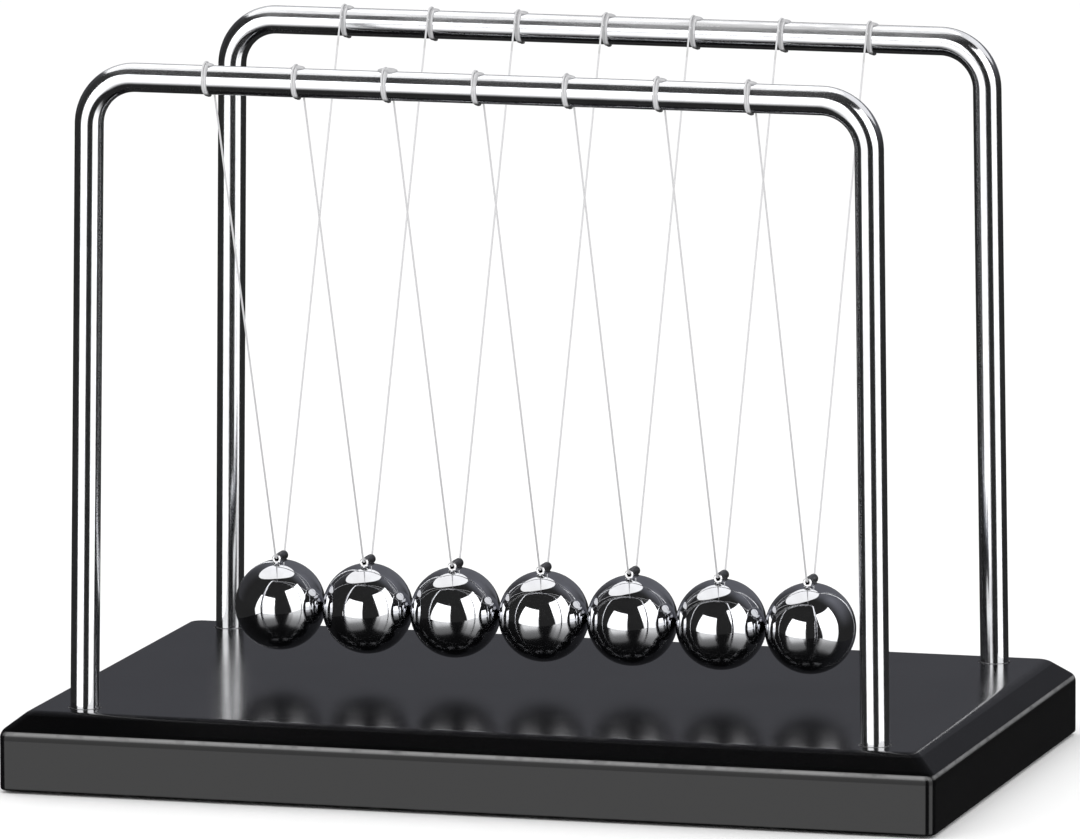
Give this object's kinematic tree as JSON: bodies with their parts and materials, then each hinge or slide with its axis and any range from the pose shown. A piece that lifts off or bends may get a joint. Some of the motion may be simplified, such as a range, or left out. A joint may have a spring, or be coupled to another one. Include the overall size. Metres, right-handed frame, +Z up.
{
  "type": "newtons cradle",
  "caption": "Desk toy: polished balls hang in a row from two bent rod hoops on a chamfered board, and a swung ball passes its motion along the row.",
  "frame": {"origin": "on the table, under the middle of the board", "axes": "+X along the row of balls, from the first to the last; +Y from the front hoop to the rear hoop; +Z up"},
  "size_m": [0.199, 0.125, 0.1526],
  "materials": {
    "board_lacquer": "black satin-gloss lacquer",
    "hoop_chrome": "bright chrome plate",
    "ball_steel": "mirror polished steel",
    "eyelet_steel": "plain bright steel",
    "nylon": "clear nylon line",
    "zinc_plate": "zinc plate",
    "foot_rubber": "matte"
  },
  "bodies": {
    "frame": {"base_board": "board_lacquer", "front_hoop": "hoop_chrome", "rear_hoop": "hoop_chrome", "front_loop_1": "nylon", "front_loop_2": "nylon", "front_loop_3": "nylon", "front_loop_4": "nylon", "front_loop_5": "nylon", "front_loop_6": "nylon", "front_loop_7": "nylon", "rear_loop_1": "nylon", "rear_loop_2": "nylon", "rear_loop_3": "nylon", "rear_loop_4": "nylon", "rear_loop_5": "nylon", "rear_loop_6": "nylon", "rear_loop_7": "nylon", "hoop_washer_front_left": "zinc_plate", "hoop_washer_front_right": "zinc_plate", "hoop_washer_rear_left": "zinc_plate", "hoop_washer_rear_right": "zinc_plate", "hoop_nut_front_left": "zinc_plate", "hoop_nut_front_right": "zinc_plate", "hoop_nut_rear_left": "zinc_plate", "hoop_nut_rear_right": "zinc_plate", "foot_front_left": "foot_rubber", "foot_front_right": "foot_rubber", "foot_rear_left": "foot_rubber", "foot_rear_right": "foot_rubber"},
    "pendulum_1": {"ball_1": "ball_steel", "eyelet_1": "eyelet_steel", "thread_1": "nylon"},
    "pendulum_2": {"ball_2": "ball_steel", "eyelet_2": "eyelet_steel", "thread_2": "nylon"},
    "pendulum_3": {"ball_3": "ball_steel", "eyelet_3": "eyelet_steel", "thread_3": "nylon"},
    "pendulum_4": {"ball_4": "ball_steel", "eyelet_4": "eyelet_steel", "thread_4": "nylon"},
    "pendulum_5": {"ball_5": "ball_steel", "eyelet_5": "eyelet_steel", "thread_5": "nylon"},
    "pendulum_6": {"ball_6": "ball_steel", "eyelet_6": "eyelet_steel", "thread_6": "nylon"},
    "pendulum_7": {"ball_7": "ball_steel", "eyelet_7": "eyelet_steel", "thread_7": "nylon"}
  },
  "joints": [
    {"name": "ball_1_swing", "type": "hinge", "parent": "frame", "child": "pendulum_1", "pos_m": [-0.05745, 0, 0.14965], "axis": [0, 1, 0], "range_deg": [0, 75]},
    {"name": "ball_2_swing", "type": "hinge", "parent": "frame", "child": "pendulum_2", "pos_m": [-0.0383, 0, 0.14965], "axis": [0, 1, 0], "range_deg": [-0.04, 0.04]},
    {"name": "ball_3_swing", "type": "hinge", "parent": "frame", "child": "pendulum_3", "pos_m": [-0.01915, 0, 0.14965], "axis": [0, 1, 0], "range_deg": [-0.04, 0.04]},
    {"name": "ball_4_swing", "type": "hinge", "parent": "frame", "child": "pendulum_4", "pos_m": [0, 0, 0.14965], "axis": [0, 1, 0], "range_deg": [-0.04, 0.04]},
    {"name": "ball_5_swing", "type": "hinge", "parent": "frame", "child": "pendulum_5", "pos_m": [0.01915, 0, 0.14965], "axis": [0, 1, 0], "range_deg": [-0.04, 0.04]},
    {"name": "ball_6_swing", "type": "hinge", "parent": "frame", "child": "pendulum_6", "pos_m": [0.0383, 0, 0.14965], "axis": [0, 1, 0], "range_deg": [-0.04, 0.04]},
    {"name": "ball_7_swing", "type": "hinge", "parent": "frame", "child": "pendulum_7", "pos_m": [0.05745, 0, 0.14965], "axis": [0, -1, 0], "range_deg": [0, 75]}
  ]
}
